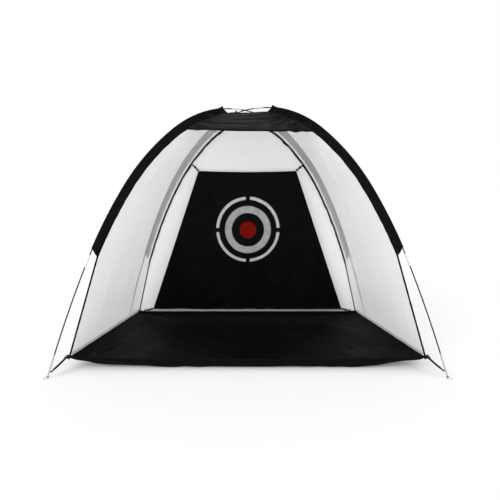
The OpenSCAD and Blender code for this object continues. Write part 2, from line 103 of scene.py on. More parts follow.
# ---- material helpers

RING_CENTRE = (0.005, 0.597)   # of the target's print, from the middle of the sheet's top edge
RING_STRETCH = (1.0, 1.10)
RED_DISC, MIDDLE_RING, OUTER_RING, GAP_HALF = 0.082, (0.162, 0.2275), (0.287, 0.3155), 0.0205
YARN_PITCH = 0.0016
STITCH_PITCH = 0.005
STITCH_SHARE = 0.66        # of its pitch that a stitch covers
BRUSH_SCALE = 600.0
STAIN_SHARE = 0.35
BRAID_PITCH = 0.0035
RIB_PITCH = 0.0032         # webbing
TAPE_RIB_PITCH = 0.0018
TAPE_ALPHA = 0.62


class Graph:
    """The nodes of a material, or of the world, with short calls for the kinds used here."""

    def __init__(self, name, world=False):
        self.owner = bpy.data.worlds.new(name) if world else bpy.data.materials.new(name)
        self.owner.use_nodes = True
        self.tree = self.owner.node_tree
        self.tree.nodes.clear()
        self.out = self.tree.nodes.new("ShaderNodeOutputWorld" if world else "ShaderNodeOutputMaterial")

    def put(self, socket, value):
        if isinstance(value, bpy.types.NodeSocket):
            self.tree.links.new(value, socket)
        elif value is not None:
            old = socket.default_value
            if hasattr(old, "__len__") and len(value) == 3 and len(old) == 4:
                value = (*value, 1.0)
            socket.default_value = value

    def math(self, op, a, b=None, c=None):
        n = self.tree.nodes.new("ShaderNodeMath")
        n.operation = op
        for socket, value in zip(n.inputs, (a, b, c)):
            self.put(socket, value)
        return n.outputs[0]

    def cloth(self):
        n = self.tree.nodes.new("ShaderNodeAttribute")
        n.attribute_name = "cloth"
        return n.outputs["Vector"]

    def place(self):
        return self.tree.nodes.new("ShaderNodeTexCoord").outputs["Object"]

    def split(self, vector):
        n = self.tree.nodes.new("ShaderNodeSeparateXYZ")
        self.put(n.inputs[0], vector)
        return n.outputs[0], n.outputs[1], n.outputs[2]

    def stretch(self, vector, scale, turn=0.0):
        n = self.tree.nodes.new("ShaderNodeMapping")
        self.put(n.inputs["Vector"], vector)
        n.inputs["Scale"].default_value = scale
        n.inputs["Rotation"].default_value = (0, 0, math.radians(turn))
        return n.outputs[0]

    def noise(self, vector, scale, detail=3.0, rough=0.5, distort=0.0):
        n = self.tree.nodes.new("ShaderNodeTexNoise")
        self.put(n.inputs["Vector"], vector)
        n.inputs["Scale"].default_value = scale
        n.inputs["Detail"].default_value = detail
        n.inputs["Roughness"].default_value = rough
        n.inputs["Distortion"].default_value = distort
        return n.outputs["Fac"]

    def spread(self, fac, lo, hi, out_lo=0.0, out_hi=1.0):
        n = self.tree.nodes.new("ShaderNodeMapRange")
        self.put(n.inputs[0], fac)
        for i, v in enumerate((lo, hi, out_lo, out_hi)):
            n.inputs[i + 1].default_value = v
        return n.outputs[0]

    def mix(self, fac, a, b):
        n = self.tree.nodes.new("ShaderNodeMix")
        n.data_type = "RGBA"
        self.put(n.inputs[0], fac)
        self.put(n.inputs[6], a)
        self.put(n.inputs[7], b)
        return n.outputs[2]

    def bump(self, height, strength, distance, normal=None):
        n = self.tree.nodes.new("ShaderNodeBump")
        n.inputs["Strength"].default_value = strength
        n.inputs["Distance"].default_value = distance
        self.put(n.inputs["Height"], height)
        self.put(n.inputs["Normal"], normal)
        return n.outputs[0]

    def stripe(self, coord, pitch, share):
        """1 inside a stripe of that share of the pitch, repeated along coord."""
        return self.math("LESS_THAN", self.math("FRACT", self.math("DIVIDE", coord, pitch)), share)

    def wave(self, coord, pitch):
        """0 to 1 sine along coord."""
        turn = self.math("MULTIPLY", coord, 2 * math.pi / pitch)
        return self.math("MULTIPLY_ADD", self.math("SINE", turn), 0.5, 0.5)

    def near(self, coord, at, half_width):
        return self.math("LESS_THAN", self.math("ABSOLUTE", self.math("SUBTRACT", coord, at)), half_width)

    def yarn(self, x, y, pitch):
        return self.math("MULTIPLY", self.wave(x, pitch), self.wave(y, pitch))

    def braid(self, x, y, pitch):
        """Threads on both diagonals, 1 on their crests."""
        return self.math("MAXIMUM", self.wave(self.math("ADD", x, y), pitch),
                         self.wave(self.math("SUBTRACT", x, y), pitch))

    def mottle(self, fac, lo, hi, base, first, last):
        """The base colour times first to times last, as fac runs from lo to hi."""
        return self.mix(self.spread(fac, lo, hi), shade(base, first), shade(base, last))

    def seen(self):
        """1 for rays that look at the surface: from the camera, by gloss or through glass."""
        path = self.tree.nodes.new("ShaderNodeLightPath").outputs
        return self.math("MAXIMUM", path["Is Camera Ray"],
                         self.math("MAXIMUM", path["Is Glossy Ray"], path["Is Transmission Ray"]))

    def surface(self, colour, rough, normal=None, **fixed):
        n = self.tree.nodes.new("ShaderNodeBsdfPrincipled")
        self.put(n.inputs["Base Color"], colour)
        self.put(n.inputs["Roughness"], rough)
        self.put(n.inputs["Normal"], normal)
        for key, value in fixed.items():
            self.put(n.inputs[key.replace("_", " ")], value)
        self.tree.links.new(n.outputs[0], self.out.inputs[0])
        return self.owner


def linear(hex_colour):
    """A written screen colour as the linear one that shaders take."""
    parts = [int(hex_colour[i : i + 2], 16) / 255 for i in (1, 3, 5)]
    return tuple(c / 12.92 if c <= 0.04045 else ((c + 0.055) / 1.055) ** 2.4 for c in parts)


def shade(colour, factor):
    return tuple(min(1.0, c * factor) for c in colour)


def stitches(g, x, y, rows):
    """Mask of the stitch lines: rows of (coordinate "x" or "y", place, half width)."""
    mask = None
    for axis, at, half in rows:
        across, along = (x, y) if axis == "x" else (y, x)
        row = g.math("MULTIPLY", g.near(across, at, half), g.stripe(along, STITCH_PITCH, STITCH_SHARE))
        mask = row if mask is None else g.math("MAXIMUM", mask, row)
    return mask


def creases(g, at, long_scale, long_turn, small_scale, small_turn):
    """Noise for a cloth's long creases and for its small ones."""
    return (g.noise(g.stretch(at, long_scale, long_turn), 1.0, 5, 0.55, 0.6),
            g.noise(g.stretch(at, small_scale, small_turn), 1.0, 4, 0.6, 0.8))


def cloth_bump(g, coarse, coarse_strength, fine, fine_strength, yarn):
    normal = g.bump(coarse, coarse_strength, 0.03)
    normal = g.bump(fine, fine_strength, 0.006, normal)
    return g.bump(yarn, 0.3, 0.0004, normal)


def woven(name, colour, rough, gloss, weave=YARN_PITCH, crease=1.0, rows=(), thread=None,
          tone=0.35, crease_scale=(7.0, 2.2, 5.0), painted_fold_light=(1.0, 1.0)):
    """Woven polyester: yarn, creases, a painted highlight on fold crests and painted shade in fold
    troughs, and rows of stitches.
    """
    g = Graph(name)
    at = g.cloth()
    x, y, fold = g.split(at)
    yarn = g.yarn(x, y, weave)
    coarse, fine = creases(g, at, crease_scale, 24, (31, 13, 20), -31)
    base = linear(colour)
    # Darker to lighter as the long creases rise.
    colour_and_painted_light = g.mottle(coarse, 0.35, 0.7, base, 1 - tone, 1 + tone)
    colour_and_painted_light = g.mix(g.spread(fine, 0.45, 0.85, 0, 0.5), colour_and_painted_light, shade(base, 1.7))
    colour_and_painted_light = g.mix(g.math("MULTIPLY", yarn, 0.25), colour_and_painted_light, shade(base, 1.5))
    # Painted highlight on the fold crests and painted shade in the fold troughs, from the fold height in
    # the cloth attribute.
    colour_and_painted_light = g.mix(g.spread(fold, 0.1, 1.0), colour_and_painted_light, shade(base, painted_fold_light[0]))
    colour_and_painted_light = g.mix(g.spread(fold, -0.1, -1.0), colour_and_painted_light, shade(base, painted_fold_light[1]))
    normal = cloth_bump(g, coarse, 0.55 * crease, fine, 0.45 * crease, yarn)
    if rows:
        mask = stitches(g, x, y, rows)
        colour_and_painted_light = g.mix(mask, colour_and_painted_light, linear(thread))
        normal = g.bump(mask, 0.6, 0.0008, normal)
    roughness = g.spread(coarse, 0.3, 0.75, rough - 0.12, rough + 0.14)
    return g.surface(colour_and_painted_light, roughness, normal, Specular_IOR_Level=gloss)


def webbing(name, colour):
    """Flat webbing: chevron ribs across the strap and pale dust."""
    g = Graph(name)
    at = g.cloth()
    x, y, _ = g.split(at)
    rib = g.wave(g.math("ADD", y, g.math("ABSOLUTE", x)), RIB_PITCH)
    dust = g.noise(at, 90, 4, 0.6)
    base = linear(colour)
    tint = g.mottle(dust, 0.4, 0.8, base, 0.7, 2.2)
    tint = g.mix(g.math("MULTIPLY", rib, 0.4), tint, shade(base, 2.0))
    normal = g.bump(rib, 0.6, 0.0006)
    return g.surface(tint, g.spread(dust, 0.3, 0.8, 0.6, 0.85), normal, Sheen_Weight=0.03,
                     Specular_IOR_Level=0.15)


def netting(name, colour, cell, open_alpha, thread_alpha):
    """Knitted mesh: threads on two diagonals round small openings, with soft folds."""
    g = Graph(name)
    at = g.cloth()
    x, y, _ = g.split(at)
    knit = g.braid(x, y, cell)
    drift = g.noise(g.stretch(at, (1.6, 0.7, 1)), 1.0, 4, 0.55, 0.4)
    folds = g.noise(g.stretch(at, (9, 1.2, 4), 12), 1.0, 4, 0.5, 0.5)
    base = linear(colour)
    tint = g.mottle(drift, 0.3, 0.7, base, 0.96, 1.03)
    tint = g.mix(g.math("MULTIPLY", knit, 0.35), tint, shade(base, 1.05))
    normal = g.bump(folds, 0.25, 0.02)
    normal = g.bump(knit, 0.3, 0.0006, normal)
    cover = g.spread(knit, 0.35, 0.95, open_alpha, thread_alpha)
    return g.surface(tint, g.spread(folds, 0.3, 0.7, 0.62, 0.8), normal, Alpha=cover,
                     Specular_IOR_Level=0.2)


def tape(name, colour):
    """Pale, slightly see-through edge tape with a darker line along its middle."""
    g = Graph(name)
    at = g.cloth()
    x, y, _ = g.split(at)
    rib = g.wave(y, TAPE_RIB_PITCH)
    soil = g.noise(at, 35, 5, 0.6, 0.5)
    base = linear(colour)
    tint = g.mottle(soil, 0.35, 0.8, base, 1.05, 0.85)
    line = g.near(x, 0.0, 0.0022)
    tint = g.mix(g.math("MULTIPLY", line, 0.75), tint, linear("#77787a"))
    return g.surface(tint, 0.75, g.bump(rib, 0.5, 0.0005, g.bump(soil, 0.3, 0.003)), Alpha=TAPE_ALPHA,
                     Specular_IOR_Level=0.2)


def metal(name, colour, rough, stain="#5c5a57"):
    """Brushed or plated steel: fine streaks along the part and dull spots."""
    g = Graph(name)
    at = g.place()
    streak = g.noise(g.stretch(at, (BRUSH_SCALE, BRUSH_SCALE, 40)), 1.0, 3, 0.6)
    spots = g.noise(at, 60, 5, 0.6, 0.3)
    base = linear(colour)
    tint = g.mottle(streak, 0.3, 0.7, base, 0.85, 1.08)
    tint = g.mix(g.spread(spots, 0.6, 0.85, 0, STAIN_SHARE), tint, linear(stain))
    normal = g.bump(streak, 0.25, 0.0003)
    return g.surface(tint, g.spread(spots, 0.35, 0.8, rough, rough + 0.22), normal, Metallic=1.0)


def fibreglass(name, colour):
    """Glossy pole: lengthways glass strands, scuffs that rub to grey."""
    g = Graph(name)
    at = g.place()
    strand = g.noise(g.stretch(at, (260, 260, 9)), 1.0, 4, 0.6)
    scuff = g.noise(at, 28, 6, 0.65, 1.2)
    base = linear(colour)
    tint = g.mottle(strand, 0.35, 0.7, base, 0.7, 1.6)
    tint = g.mix(g.spread(scuff, 0.66, 0.85, 0, 0.2), tint, linear("#2c2c2e"))
    normal = g.bump(strand, 0.2, 0.0003)
    return g.surface(tint, g.spread(scuff, 0.3, 0.75, 0.38, 0.58), normal, Coat_Weight=0.04,
                     Coat_Roughness=0.3, Specular_IOR_Level=0.12)


def moulded(name, colour):
    """Moulded plastic: fine grain and faint flow marks."""
    g = Graph(name)
    at = g.place()
    grain = g.noise(at, 900, 3, 0.6)
    flow = g.noise(at, 40, 4, 0.5, 0.8)
    base = linear(colour)
    tint = g.mottle(flow, 0.35, 0.7, base, 0.8, 1.5)
    return g.surface(tint, g.spread(flow, 0.3, 0.7, 0.42, 0.6), g.bump(grain, 0.3, 0.0004),
                     Specular_IOR_Level=0.25)


def braid(name, colour):
    """Elastic cord: a crossing braid over its length."""
    g = Graph(name)
    x, y, _ = g.split(g.cloth())
    cross = g.braid(x, y, BRAID_PITCH)
    base = linear(colour)
    tint = g.mix(g.math("MULTIPLY", cross, 0.6), shade(base, 0.7), shade(base, 2.4))
    return g.surface(tint, 0.7, g.bump(cross, 0.7, 0.0006), Specular_IOR_Level=0.15)


def printed_target(name):
    """Black target cloth with the printed rings: cloth x and y are metres from the sheet's top middle."""
    g = Graph(name)
    at = g.cloth()
    x, y, _ = g.split(at)
    dx, dy = (g.math("DIVIDE", g.math("SUBTRACT", c, centre), stretch)
              for c, centre, stretch in zip((x, y), RING_CENTRE, RING_STRETCH))
    ragged = g.spread(g.noise(at, 240, 3, 0.6), 0.3, 0.7, -0.006, 0.006)
    square = g.math("ADD", g.math("MULTIPLY", dx, dx), g.math("MULTIPLY", dy, dy))
    r = g.math("ADD", g.math("SQRT", square), ragged)

    def ring(lo, hi):
        return g.math("MULTIPLY", g.math("GREATER_THAN", r, lo), g.math("LESS_THAN", r, hi))

    def ink(dark, pale, hi=0.7):
        return g.mix(g.spread(print_wear, 0.35, hi), linear(dark), linear(pale))

    coarse, fine = creases(g, at, (3.4, 1.7, 3), 38, (17, 7, 9), -40)
    print_wear = g.noise(at, 16, 5, 0.6, 0.8)
    yarn = g.yarn(x, y, YARN_PITCH)
    base = linear("#060607")
    colour = g.mottle(coarse, 0.35, 0.7, base, 0.6, 1.6)
    colour = g.mix(g.math("MULTIPLY", yarn, 0.2), colour, shade(base, 2.2))
    gap = g.math("MULTIPLY", *(g.math("GREATER_THAN", g.math("ABSOLUTE", d), GAP_HALF) for d in (dx, dy)))
    colour = g.mix(g.math("MULTIPLY", ring(*OUTER_RING), gap), colour, ink("#bcbcbc", "#d0d0d0"))
    colour = g.mix(ring(*MIDDLE_RING), colour, ink("#9c9c9c", "#b6b6b6"))
    colour = g.mix(ring(-1.0, RED_DISC), colour, ink("#7c0b05", "#6a0803", 0.75))
    normal = cloth_bump(g, coarse, 0.5, fine, 0.3, yarn)
    return g.surface(colour, g.spread(coarse, 0.3, 0.75, 0.58, 0.75), normal, Specular_IOR_Level=0.07)


# ---- mesh helpers


def node_points(node):
    """The CAD node's corners, each once."""
    bm = bmesh.new()
    bm.from_mesh(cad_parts[node].data)
    bmesh.ops.remove_doubles(bm, verts=bm.verts, dist=2e-5)
    found = np.array([v.co for v in bm.verts], float)
    bm.free()
    return found


def groups(points, key, gap):
    """Points split where the sorted key jumps by more than gap, each group's mean."""
    order = np.argsort(key)
    cuts = np.where(np.diff(key[order]) > gap)[0] + 1
    return np.array([points[part].mean(0) for part in np.split(order, cuts)])


def unit(vectors):
    """Each vector over its own length."""
    return vectors / np.linalg.norm(vectors, axis=-1, keepdims=True)


def travel(path):
    """Distance along a path at each of its points."""
    return np.concatenate([[0], np.cumsum(np.linalg.norm(np.diff(path, axis=0), axis=1))])


def along(at, places, points):
    """Points at the given distances along a line."""
    return np.stack([np.interp(at, places, points[:, k]) for k in range(3)], axis=-1)


def between(a, b, share):
    return a * (1 - share) + b * share


def cloth_at(x, y, fold=0.0):
    """A grid's cloth attribute: metres across, metres along, height of its fold, from which woven cloth
    paints a highlight on crests and shade in troughs.
    """
    return np.stack(np.broadcast_arrays(x, y, fold), axis=-1)


def make(name, points, faces, cloth, material, body="tent"):
    mesh = bpy.data.meshes.new(name)
    mesh.from_pydata([tuple(p) for p in points], [], faces)
    attribute = mesh.attributes.new("cloth", "FLOAT_VECTOR", "POINT")
    attribute.data.foreach_set("vector", np.asarray(cloth, np.float32).ravel())
    mesh.polygons.foreach_set("use_smooth", [True] * len(mesh.polygons))
    mesh.materials.append(material)
    obj = add_object(name, mesh)
    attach(obj, body)
    return obj


def grid_faces(rows, cols, wrap=False):
    last = cols if wrap else cols - 1
    return [
        (i * cols + j, i * cols + (j + 1) % cols, (i + 1) * cols + (j + 1) % cols, (i + 1) * cols + j)
        for i in range(rows - 1)
        for j in range(last)
    ]


def grid_area(grid):
    a = np.cross(grid[1:, 1:] - grid[:-1, :-1], grid[1:, :-1] - grid[:-1, 1:])
    return float(np.linalg.norm(a, axis=2).sum() / 2)


def thicken(obj, thick):
    solid = obj.modifiers.new("thickness", "SOLIDIFY")
    solid.thickness = thick
    solid.offset = 0


def cloth_grid(name, grid, cloth, material, body="tent", thick=0.0):
    rows, cols = grid.shape[:2]
    obj = make(name, grid.reshape(-1, 3), grid_faces(rows, cols), cloth.reshape(-1, 3), material, body)
    if thick:
        thicken(obj, thick)
    return obj


def tube(name, path, radius, material, sides=12, flat=1.0, side=(0.31, 0.17, 0.93)):
    """A closed tube along a path; radius is a number or one per point, flat squashes it along side."""
    path = np.asarray(path, float)
    n = len(path)
    radius = np.full(n, radius) if np.isscalar(radius) else np.asarray(radius)
    tangent = unit(np.gradient(path, axis=0))
    side = np.array(side)
    run = travel(path)
    points, cloth = [], []
    for k in range(n):
        s = unit(side - tangent[k] * side.dot(tangent[k]))
        t = np.cross(tangent[k], s)
        for m in range(sides):
            a = 2 * math.pi * m / sides
            points.append(path[k] + radius[k] * (flat * math.cos(a) * s + math.sin(a) * t))
            cloth.append((radius[k] * (a if m <= sides / 2 else 2 * math.pi - a), run[k], 0))
    faces = grid_faces(n, sides, wrap=True)
    faces += [tuple(range(sides - 1, -1, -1)), tuple((n - 1) * sides + m for m in range(sides))]
    return make(name, points, faces, cloth, material)


def smooth_path(points, per_span=6):
    """Catmull-Rom through the points."""
    p = np.asarray(points, float)
    p = np.vstack([2 * p[0] - p[1], p, 2 * p[-1] - p[-2]])
    out = []
    for i in range(1, len(p) - 2):
        for k in range(per_span):
            t = k / per_span
            out.append(0.5 * (2 * p[i] + (p[i + 1] - p[i - 1]) * t
                              + (2 * p[i - 1] - 5 * p[i] + 4 * p[i + 1] - p[i + 2]) * t * t
                              + (3 * p[i] - p[i - 1] - 3 * p[i + 1] + p[i + 2]) * t ** 3))
    out.append(p[-2])
    return np.array(out)


class Ripple:
    """A steady sum of waves over a plane, about -1 to 1, with a chosen grain direction."""

    def __init__(self, lengths, grain, loose, count=7):
        self.terms = []
        for _ in range(count):
            wave = rng.uniform(*lengths)
            turn = math.radians(grain + rng.uniform(-loose, loose))
            self.terms.append((2 * math.pi / wave * math.cos(turn), 2 * math.pi / wave * math.sin(turn),
                               rng.uniform(0, 2 * math.pi), rng.uniform(0.5, 1)))
        self.total = sum(t[3] for t in self.terms) * 0.5

    def at(self, x, y):
        return sum(w * np.sin(a * x + b * y + p) for a, b, p, w in self.terms) / self.total


def sharpen(value, power=0.7):
    """Folds with narrow crests and wide troughs."""
    up = np.clip((value + 1) / 2, 0, 1)
    return up ** (1 / power) * 2 - 1


def smoothstep(value):
    value = np.clip(value, 0, 1)
    return value * value * (3 - 2 * value)


def fade(distance, width):
    """1 at no distance, falling as a bell."""
    return np.exp(-(distance / width) ** 2)


def arch(share):
    """0 at both ends of 0 to 1, and 1 in the middle."""
    return 4 * share * (1 - share)


def toward(grid, target):
    """Unit normals of a grid, turned towards a target point."""
    n = np.cross(np.gradient(grid, axis=0), np.gradient(grid, axis=1))
    n = n / np.maximum(np.linalg.norm(n, axis=2), 1e-9)[..., None]
    sign = np.sign(((target - grid) * n).sum(2))
    return n * np.where(sign == 0, 1, sign)[..., None]


# ---- the CAD lines that cloth follows

CORD_OF = {"front_left": "shock_cord_a", "rear_right": "shock_cord_a",
           "front_right": "shock_cord_b", "rear_left": "shock_cord_b"}
SEAM_OF = {"front_left": "edge_front_left", "front_right": "edge_front_right",
           "rear_left": "seam_rear_left", "rear_right": "seam_rear_right"}
POINT_GAP = 0.008          # less than the CAD's own spacing along a pole or seam
TOP_PULL = 0.024           # how far the visor's top corners draw the front seams towards the pole
TOP_PULL_FADE = 0.13


class Leg:
    """Half a pole: its centreline from the crossing down, and the seam of its sleeve."""

    def __init__(self, name):
        side, end = LEGS[name]
        cord = node_points(CORD_OF[name])
        ends = cord[np.argmin(cord[:, 0])], cord[np.argmax(cord[:, 0])]
        run = (ends[1] - ends[0]) * side
        self.dir = np.array([run[0], run[1], 0]) / math.hypot(run[0], run[1])
        self.side = np.cross(self.dir, UP)
        line = groups(cord, cord @ self.dir, POINT_GAP)
        self.line = smooth_path(line[len(line) // 2 :], 8)
        self.length = travel(self.line)
        self.tangent = unit(np.gradient(self.line, axis=0))
        seam = node_points(SEAM_OF[name])
        seam = groups(seam, seam @ self.dir, POINT_GAP)
        patches = node_points("corner_patches")
        mine = patches[(patches[:, 0] * side > 0) & (patches[:, 1] * end > 0)]
        self.corner = (mine.min(0) + mine.max(0)) / 2
        self.kink = seam[-2]
        self.tail = float(np.linalg.norm(self.kink - self.corner))
        upper = smooth_path(seam[:-1], 4)
        self.upper_at = travel(upper)
        rise = np.cross(self.side, np.gradient(upper, axis=0))
        rise = unit(rise) * np.sign(rise[0, 2])
        self.pull = TOP_PULL if end < 0 else 0.0
        self.upper = upper + rise * (self.pull * fade(self.upper_at, TOP_PULL_FADE))[:, None]

    def at(self, l):
        return along(l, self.length, self.line)

    def out(self, l):
        t = along(l, self.length, self.tangent)
        return unit(np.cross(np.broadcast_to(self.side, t.shape), t))

    def seam(self, u):
        """u runs 0 at the floor corner, 1 at the sleeve's foot, 2 at its top."""
        u = np.asarray(u, float)
        low = self.corner + np.clip(u, 0, 1)[..., None] * (self.kink - self.corner)
        s = (2 - np.clip(u, 1, 2)) * self.upper_at[-1]
        return np.where((u <= 1)[..., None], low, along(s, self.upper_at, self.upper))


legs = {name: Leg(name) for name in LEGS}
CENTRE = np.array([0, 0, 0.8])

# ---- materials

MATERIALS = {
    "fibreglass": fibreglass("pole_fibreglass", "#050506"),
    "steel": metal("plated_steel", "#d3d5d7", 0.26),
    "dark_steel": metal("dark_steel", "#57585a", 0.38, stain="#2d2b29"),
    "tip_steel": metal("tip_steel", "#b9bbbd", 0.32),
    # The last pair on the sleeve, visor and floor cloths paints a highlight on their fold crests and shade
    # in their fold troughs.
    "sleeve": woven("sleeve_cloth", "#070708", rough=0.64, gloss=0.07,
                    rows=(("x", 0.014, 0.0012), ("x", 0.049, 0.0012)), thread="#1e1e20", painted_fold_light=(6.0, 0.5)),
    "visor": woven("visor_cloth", "#212123", rough=0.6, tone=0.55, crease=2.2, gloss=0.1,
                   rows=(("y", 0.012, 0.0012),), thread="#161617", crease_scale=(2.2, 9.0, 5.0),
                   painted_fold_light=(4.2, 0.25)),
    "floor": woven("floor_cloth", "#050506", rough=0.62, gloss=0.05, tone=0.6,
                   crease_scale=(2.6, 2.2, 3.0), painted_fold_light=(3.5, 0.4)),
    "hem": woven("hem_cloth", "#050506", rough=0.66, gloss=0.06,
                 rows=(("x", 0.0, 0.0012),), thread="#1c1c1d"),
    "net": netting("net_mesh", "#f6f6f6", cell=0.0075, open_alpha=0.32, thread_alpha=0.84),
    "tape": tape("net_tape", "#f4f4f4"),
    "binding": woven("binding_cloth", "#050506", weave=0.0012, rough=0.66, gloss=0.05),
    "webbing": webbing("webbing", "#0a0a0b"),
    "elastic": braid("elastic_cord", "#070708"),
    "clip": moulded("clip_plastic", "#070708"),
}


def carry(node, key):
    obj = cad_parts[node]
    obj.data.materials.clear()
    obj.data.materials.append(MATERIALS[key])


for pole in "ab":
    for k in range(1, 9):
        carry(f"pole_{pole}_{k}", "fibreglass")
    carry(f"pole_{pole}_ferrules", "steel")
    carry(f"shock_cord_{pole}", "elastic")
for name in LEGS:
    carry(f"pole_tip_{name}", "tip_steel")
    carry(f"peg_ring_{name}", "steel")
carry("foot_pins", "dark_steel")
carry("strap_rings", "steel")
carry("target_clips", "clip")

# ---- sleeves

SEAM_INSET = 0.0545
CHANNEL_R = 0.0084
TOP_SLANT = 0.040
FOOT_SLANT = 0.042
TIP_LIFT = 0.014
TIP_FADE = 0.030
FOLD_LIGHT_REACH = 0.6          # length of sleeve below the crossing whose folds get a painted highlight on their crests and painted shade in their troughs
SLEEVE_FOLDS = 0.0030
SLEEVE_LEAN = 0.0035
SLEEVE_PUFF = 0.10
CLOTH_THICK = 0.0008
GUSSET_WAVE = 0.0014


def sleeve_profile():
    """(radial, sideways, inset) round the cloth from one seam edge to the other."""
    flat = np.linspace(-SEAM_INSET, -CHANNEL_R * 1.7, 8)
    shape = [(r, 0.0012 + 0.0024 * smoothstep((r + SEAM_INSET) / 0.05), -r) for r in flat]
    for a in np.radians(np.linspace(128, -128, 13)):
        r = CHANNEL_R * math.cos(a)
        shape.append((r, CHANNEL_R * math.sin(a), max(0.0, -r)))
    shape += [(r, -s, i) for r, s, i in shape[7::-1]]
    return np.array(shape)


def add_sleeve(name, start, end):
    leg = legs[name]
    profile = sleeve_profile()
    radial, sideways, depth = (profile[None, :, k] for k in range(3))
    inset = depth / SEAM_INSET
    tau = np.linspace(0, 1, 110)[:, None] ** 1.25
    first = start + TOP_SLANT * (1 - inset)
    last = end - FOOT_SLANT * (1 - inset) ** 1.4
    l = first + tau * (last - first)
    folds = Ripple((0.05, 0.16), 28, 26)
    slow = Ripple((0.25, 0.7), 10, 30)
    wrinkle = folds.at(l, depth * 3)
    lean = SLEEVE_FOLDS * sharpen(wrinkle) + SLEEVE_LEAN * slow.at(l, depth)
    free = smoothstep(inset * 1.7) * smoothstep((1.06 - inset) * 5)
    puff = 1 + SLEEVE_PUFF * slow.at(l * 1.7, 0) * (1 - smoothstep(inset * 4))
    crown = np.clip(radial / CHANNEL_R, 0, 1)
    lift = TIP_LIFT * crown * fade(l - first, TIP_FADE) + leg.pull * inset * fade(l - start, TOP_PULL_FADE)
    grid = leg.at(l) + leg.out(l) * (radial + lift)[..., None]
    grid = grid + leg.side * (sideways * puff + lean * free)[..., None]
    # The fold height goes into the cloth attribute, where the sleeve material paints a highlight on crests
    # and shade in troughs.
    cloth = cloth_at(depth, l, wrinkle * free * fade(l - start, FOLD_LIGHT_REACH))
    obj = cloth_grid(f"sleeve_cloth_{name}", grid, cloth, MATERIALS["sleeve"], thick=CLOTH_THICK)
    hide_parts(f"sleeve_{name}")


def sleeve_span(name):
    """Where the CAD sleeve starts and ends along its leg."""
    leg = legs[name]
    pts = node_points(f"sleeve_{name}")
    q = pts @ leg.dir
    reach = max(np.linalg.norm(leg.line - p, axis=1).min() for p in pts)
    tries = np.linspace(0.02, 0.5, 500)
    edge = (leg.at(tries) - reach * leg.out(tries)) @ leg.dir
    first = float(np.interp(q.min(), np.minimum(edge, leg.at(tries) @ leg.dir), tries))
    last = float(np.interp(q.max() - CHANNEL_R, leg.line @ leg.dir, leg.length))
    return first, last


def add_gusset(name, start, end):
    """Strip of net between a rear sleeve's free edge and the seam of the net walls."""
    leg = legs[name]
    tries = np.linspace(start, end, 900)
    line = leg.at(tries)
    low = leg.seam(np.linspace(2, 1, 70))
    l = np.array([tries[np.linalg.norm(line - p, axis=1).argmin()] for p in low])
    high = leg.at(l) - leg.out(l) * (SEAM_INSET - 0.003)
    share = np.linspace(0, 1, 5)[None, :]
    wave = Ripple((0.06, 0.2), 0, 10)
    width = np.linalg.norm(high - low, axis=1)[:, None]
    grid = between(high[:, None], low[:, None], share[..., None])
    billow = GUSSET_WAVE * wave.at(l[:, None], 0) * np.sin(np.pi * share)
    grid = grid + leg.side * billow[..., None]
    obj = cloth_grid(f"net_gusset_{name}", grid, cloth_at(share * width, l[:, None]), MATERIALS["net"])


for name in LEGS:
    span = sleeve_span(name)
    add_sleeve(name, *span)
    if "rear" in name:
        add_gusset(name, *span)

# ---- net walls

CREASE_EASE = 0.16         # how far the bend at the sleeves' feet fades into the net
NET_BOW = 0.008            # how far each wall curves inwards
NET_TENSION = 0.0022       # height of the waves along its pull
NET_DRIFT = 0.0045         # height of its long slow waves
HEM_HEIGHT = 0.034
HEM_PROUD = 0.0015         # of the net behind it
HEM_WAVES = 0.0012


def ease_crease(grid, ys, share):
    """Each column smoothed along its length, by that share, so no crease runs across the wall."""
    weight = fade(ys[:, None] - ys[None, :], CREASE_EASE) * np.gradient(ys)[None, :]
    weight /= weight.sum(1, keepdims=True)
    inside = np.minimum(ys - ys[0], ys[-1] - ys)
    smooth = np.einsum("ij,jkc->ikc", weight, grid)
    hold = smoothstep(inside / (2.2 * CREASE_EASE))[:, None] * share
    return grid + (smooth - grid) * hold[..., None]


def wall(name, left, right, node):
    """A net wall between two seams, from the floor's edge to the sleeves' tops."""
    us = np.concatenate([np.linspace(0.012, 1, 26)[:-1], np.linspace(1, 2, 40)])
    p, q = legs[left].seam(us), legs[right].seam(us)
    f = np.linspace(0, 1, 34)[None, :]
    across = np.linalg.norm(q - p, axis=1)[:, None]
    xs, ys = (f - 0.5) * across, travel((p + q) / 2)[:, None]
    bow = arch(f)
    grid = between(p[:, None], q[:, None], f[..., None])
    grid = ease_crease(grid, ys[:, 0], smoothstep(bow * 1.6))
    edge = smoothstep(bow * 2.2) * smoothstep(ys / 0.12)
    tension = Ripple((0.10, 0.34), 8, 14)
    soft = Ripple((0.5, 1.2), 60, 60)
    waves = NET_TENSION * tension.at(xs, ys) + NET_DRIFT * soft.at(xs, ys)
    inward = NET_BOW * bow * smoothstep(ys / 0.4) + edge * waves
    grid = grid + toward(grid, CENTRE) * inward[..., None]
    obj = cloth_grid(name, grid, cloth_at(xs, ys), MATERIALS["net"])
    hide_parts(node)
    flat = (float(across.max()), float(ys.max()))
    return obj, flat, grid_area(grid)


